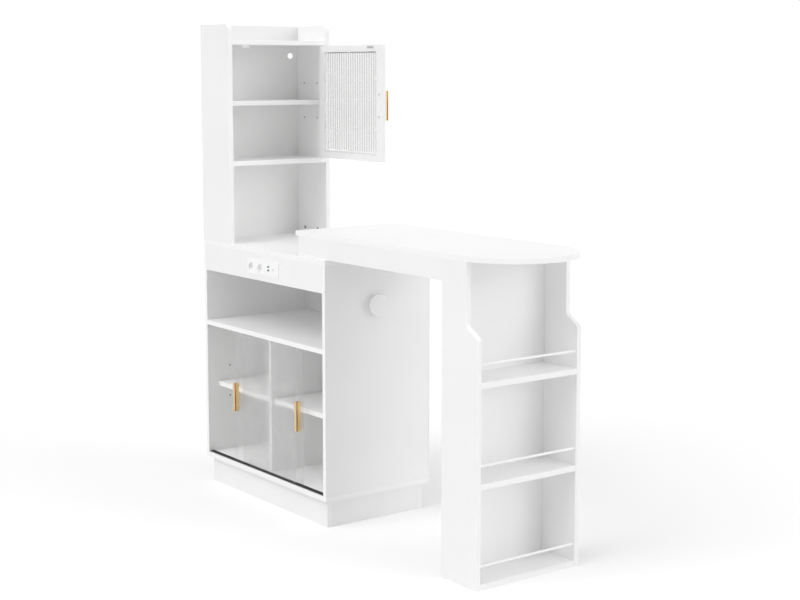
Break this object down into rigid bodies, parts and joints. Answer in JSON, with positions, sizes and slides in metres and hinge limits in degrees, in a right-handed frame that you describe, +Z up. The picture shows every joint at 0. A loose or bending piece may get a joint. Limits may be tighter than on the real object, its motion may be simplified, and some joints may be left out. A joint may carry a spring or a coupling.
{
  "type": "bar table",
  "caption": "Bar table: a rounded bar top runs from a cabinet with sliding fluted panels, an outlet and a tall hutch with a fluted door to a shelved leg.",
  "frame": {"origin": "on the floor, under the middle of the box round the whole object", "axes": "+X from the cabinet to the rounded end of the bar top, +Y from the cabinet front to its back, +Z up"},
  "size_m": [1.7899, 0.4712, 1.79],
  "materials": {
    "white_board": "white satin faced board",
    "white_back_sheet": "white thin hardboard",
    "white_door_frame": "white satin paint",
    "white_knob": "white satin paint",
    "white_steel": "white gloss paint",
    "bare_steel": "zinc plated",
    "dark_zinc": "dark zinc",
    "brushed_gold": "brushed champagne gold",
    "black_track": "black extruded plastic",
    "outlet_plastic": "white moulded plastic",
    "catch_plastic": "white moulded plastic",
    "clip_plastic": "milky moulded plastic",
    "fluted_clear": "clear fluted acrylic"
  },
  "bodies": {
    "cabinet_and_bar": {"plinth_front": "white_board", "plinth_back": "white_board", "plinth_left": "white_board", "plinth_right": "white_board", "cabinet_bottom": "white_board", "cabinet_side_left": "white_board", "cabinet_side_right": "white_board", "cabinet_top": "white_board", "fascia": "white_board", "middle_shelf": "white_board", "divider": "white_board", "cabinet_shelf_left": "white_board", "cabinet_shelf_right": "white_board", "hutch_side_near": "white_board", "hutch_side_far": "white_board", "hutch_roof": "white_board", "hutch_fixed_shelf": "white_board", "hutch_shelf": "white_board", "bar_top": "white_board", "apron_front": "white_board", "apron_back": "white_board", "apron_end": "white_board", "leg_side_near": "white_board", "leg_side_far": "white_board", "leg_back": "white_board", "leg_bottom": "white_board", "leg_shelf_lower": "white_board", "leg_shelf_upper": "white_board", "cabinet_back_sheet": "white_back_sheet", "hutch_back_sheet": "white_back_sheet", "knob_disc": "white_knob", "knob_stem": "white_knob", "cabinet_shelf_brackets": "bare_steel", "hutch_shelf_brackets": "bare_steel", "bottom_track": "black_track", "top_track": "black_track", "outlet_plate": "outlet_plastic", "socket_inserts": "outlet_plastic", "usb_module": "outlet_plastic", "outlet_housing": "outlet_plastic", "hutch_cams": "dark_zinc", "magnetic_catch": "catch_plastic", "door_pivot_pins": "bare_steel", "table_screws": "bare_steel", "guard_rails": "white_steel"},
    "hutch_door": {"door_stile_hinge": "white_door_frame", "door_stile_free": "white_door_frame", "door_rail_top": "white_door_frame", "door_rail_bottom": "white_door_frame", "door_pane": "fluted_clear", "pane_clips": "clip_plastic", "door_handle": "brushed_gold", "door_handle_screws": "bare_steel", "strike_plate": "dark_zinc"},
    "left_sliding_panel": {"sliding_panel_left": "fluted_clear", "panel_handle_left": "brushed_gold", "panel_screws_left": "bare_steel"},
    "right_sliding_panel": {"sliding_panel_right": "fluted_clear", "panel_handle_right": "brushed_gold", "panel_screws_right": "bare_steel"}
  },
  "joints": [
    {"name": "hutch_door_hinge", "type": "hinge", "parent": "cabinet_and_bar", "child": "hutch_door", "pos_m": [-0.693, 0.20563, 1.4945], "axis": [0, 0, 1], "range_deg": [-90, 10]},
    {"name": "left_panel_slide", "type": "slide", "parent": "cabinet_and_bar", "child": "left_sliding_panel", "axis": [1, 0, 0], "range_m": [-0.1925, 0]},
    {"name": "right_panel_slide", "type": "slide", "parent": "cabinet_and_bar", "child": "right_sliding_panel", "axis": [1, 0, 0], "range_m": [0, 0.1505]}
  ]
}
